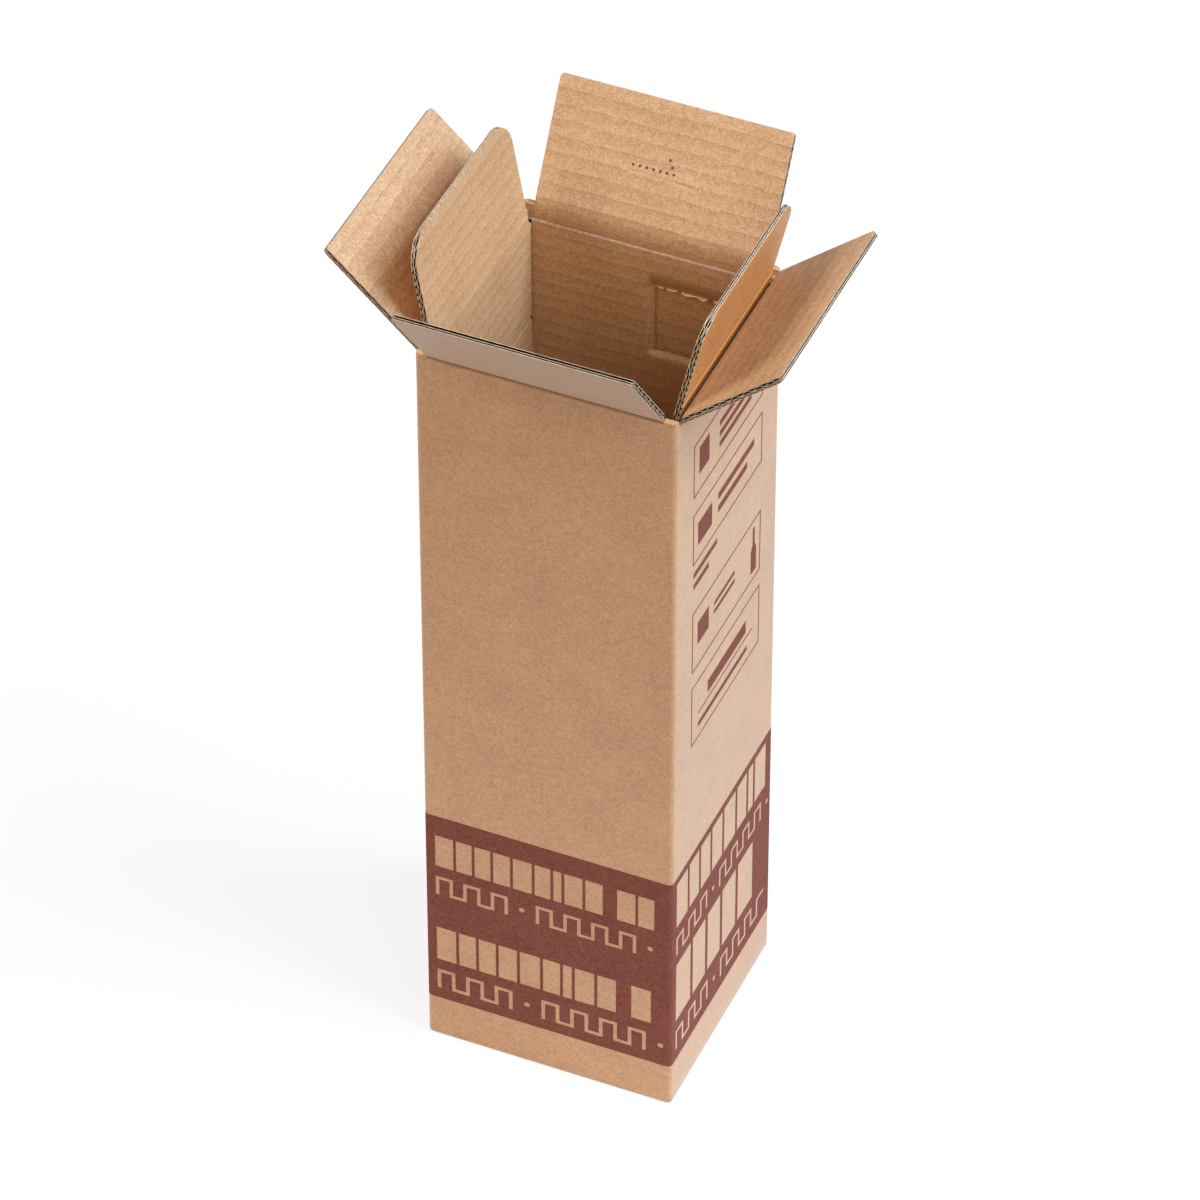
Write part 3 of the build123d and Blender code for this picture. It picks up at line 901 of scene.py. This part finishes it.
ink = bpy.data.materials.new("maroon_ink")
ink.use_nodes = True
tree = ink.node_tree
place = add_node(tree, "TexCoord").outputs["Object"]
lightness, fine = paper_pattern(tree, place)
bare = calculate(tree, "SUBTRACT", noise_at(tree, place, 1300, 3, 0.6), BARE_START)
bare = calculate(tree, "MULTIPLY", bare, BARE_RISE, clamp=True)
lightness = calculate(tree, "ADD", lightness, 0.0, clamp=True)
inputs = {"Factor": lightness, "A": INK_DARK, "B": INK_LIGHT}
inked = add_node(tree, "Mix", inputs, data_type="RGBA").outputs["Result"]
inputs = {"Factor": bare, "A": inked, "B": BARE_FIBRE}
shown = add_node(tree, "Mix", inputs, data_type="RGBA")
shader = tree.nodes["Principled BSDF"]
shader.inputs["Roughness"].default_value = 0.8
shader.inputs["Specular IOR Level"].default_value = 0.2
tree.links.new(shown.outputs["Result"], shader.inputs["Base Color"])
bump = add_node(tree, "Bump", {"Height": fine, "Distance": 0.04 * MM, "Strength": 1.0})
tree.links.new(bump.outputs["Normal"], shader.inputs["Normal"])
for name in ("printed_band", "printed_marks"):
    for slot in frame["nodes"][name].material_slots:
        slot.material = ink
print("ink on", frame["nodes"]["printed_band"].name, "and", frame["nodes"]["printed_marks"].name)

# %% [markdown]
# ## Camera
#
# The photograph was taken with a long lens, from well above and a little to the right.
# Its place and lens come from fitting a camera to the corners of the box.

# %% Set the camera
camera = bpy.data.objects.new("camera", bpy.data.cameras.new("camera"))
camera.data.sensor_width = 36
camera.data.lens = 226.96
camera.data.clip_start, camera.data.clip_end = 0.1, 50
camera.location = (1.02579, -2.35986, 2.50723)
looking = Vector((-0.29924, 0.68866, -0.66045))
camera.rotation_mode = "QUATERNION"
camera.rotation_quaternion = looking.to_track_quat("-Z", "Y")
bpy.context.scene.collection.objects.link(camera)
bpy.context.scene.camera = camera
print("camera", [round(value, 3) for value in camera.location])

# %% [markdown]
# ## Floor and light
#
# The photograph was taken in a white studio, and its background is pure white with only
# a faint shadow. More light would make the floor white, but would bleach the paper too.
# Here the floor lights the box as a sheet of white paper does, and from under a metre away
# as a dark table does, so the front is lightest near its foot. Only where the floor is seen
# it is mixed with a white glow, which leaves the shadow in it soft. A large, cool, soft lamp
# stands high to the right. A weak one in front reaches a little way into the box, another
# shines on the right flap from the left, and a dim warm world fills the rest.

# %% Floor
def seen_share(tree):
    """1 for rays that show the background: from the camera, in gloss and through glass."""
    path = add_node(tree, "LightPath").outputs
    seen = calculate(tree, "MAXIMUM", path["Is Camera Ray"], path["Is Glossy Ray"])
    return calculate(tree, "MAXIMUM", seen, path["Is Transmission Ray"])


FLOOR_REACH = 4  # metres
WHITE_PAPER, DARK_TABLE = (0.9, 0.9, 0.9, 1), (0.12, 0.12, 0.12, 1)
BOUNCE_FULL, BOUNCE_GONE = 0.25, 0.85  # metres from the middle of the box
GLOW_SHARE = 0.8

floor = flat_grid(FLOOR_REACH, -FLOOR_REACH, FLOOR_REACH, 1, 1)
bmesh.ops.translate(floor, verts=floor.verts[:], vec=(0, 0, -0.1 * MM))
floor_mesh = bpy.data.meshes.new("floor")
floor.to_mesh(floor_mesh)
floor.free()
floor = bpy.data.objects.new("floor", floor_mesh)
bpy.context.scene.collection.objects.link(floor)
white = bpy.data.materials.new("white_floor")
white.use_nodes = True
shader = white.node_tree.nodes["Principled BSDF"]
shader.inputs["Base Color"].default_value = WHITE_PAPER
shader.inputs["Roughness"].default_value = 0.9
shader.inputs["Specular IOR Level"].default_value = 0.0
tree = white.node_tree
glow = add_node(tree, "Emission", {"Color": (1, 1, 1, 1), "Strength": 1.0})
inputs = {0: GLOW_SHARE, 1: shader.outputs[0], 2: glow.outputs[0]}
dimmed = add_node(tree, "MixShader", inputs)
place = add_node(tree, "TexCoord").outputs["Object"]
away = add_node(tree, "VectorMath", {0: place}, operation="LENGTH").outputs["Value"]
fade = BOUNCE_GONE - BOUNCE_FULL
far = calculate(tree, "MULTIPLY_ADD", away, 1 / fade, -BOUNCE_FULL / fade, clamp=True)
inputs = {"Factor": far, "A": WHITE_PAPER, "B": DARK_TABLE}
paper_and_table = add_node(tree, "Mix", inputs, data_type="RGBA").outputs["Result"]
bounce = add_node(tree, "BsdfDiffuse", {"Color": paper_and_table})
inputs = {0: seen_share(tree), 1: bounce.outputs[0], 2: dimmed.outputs[0]}
mixed = add_node(tree, "MixShader", inputs)
tree.links.new(mixed.outputs[0], tree.nodes["Material Output"].inputs["Surface"])
floor_mesh.materials.append(white)
print("floor: as bright as white paper to", BOUNCE_FULL, "m from the box")

# %% Lamps and world
def soft_lamp(name, place, aim, size, power, colour):
    """A square area lamp at a place, turned to an aim."""
    lamp = bpy.data.objects.new(name, bpy.data.lights.new(name, "AREA"))
    lamp.data.size = size
    lamp.data.energy = power
    lamp.data.color = colour
    lamp.location = place
    lamp.rotation_mode = "QUATERNION"
    lamp.rotation_quaternion = (Vector(aim) - Vector(place)).to_track_quat("-Z", "Y")
    bpy.context.scene.collection.objects.link(lamp)
    return lamp


MIDDLE_OF_BOX = (0, 0, 0.3)
soft_lamp("key", (1.9, 0.1, 2.6), MIDDLE_OF_BOX, 1.8, 101, (1.0, 1.3, 1.74))
soft_lamp("front", (1.2, -2.2, 2.3), MIDDLE_OF_BOX, 1.6, 28, (1.0, 0.94, 0.72))
soft_lamp("left", (-1.9, -1.0, 2.2), MIDDLE_OF_BOX, 1.4, 46, (1.0, 0.98, 1.0))
world = bpy.data.worlds.new("studio")
bpy.context.scene.world = world
world.use_nodes = True
tree = world.node_tree
backdrop = add_node(tree, "Background", {"Color": (1, 1, 1, 1), "Strength": 1.0})
fill = add_node(tree, "Background", {"Color": (1.0, 0.89, 0.75, 1), "Strength": 0.16})
inputs = {0: seen_share(tree), 1: fill.outputs[0], 2: backdrop.outputs[0]}
mixed = add_node(tree, "MixShader", inputs)
tree.links.new(mixed.outputs[0], tree.nodes["World Output"].inputs["Surface"])

bpy.context.scene.view_settings.view_transform = "Standard"
print("lights and world are set")
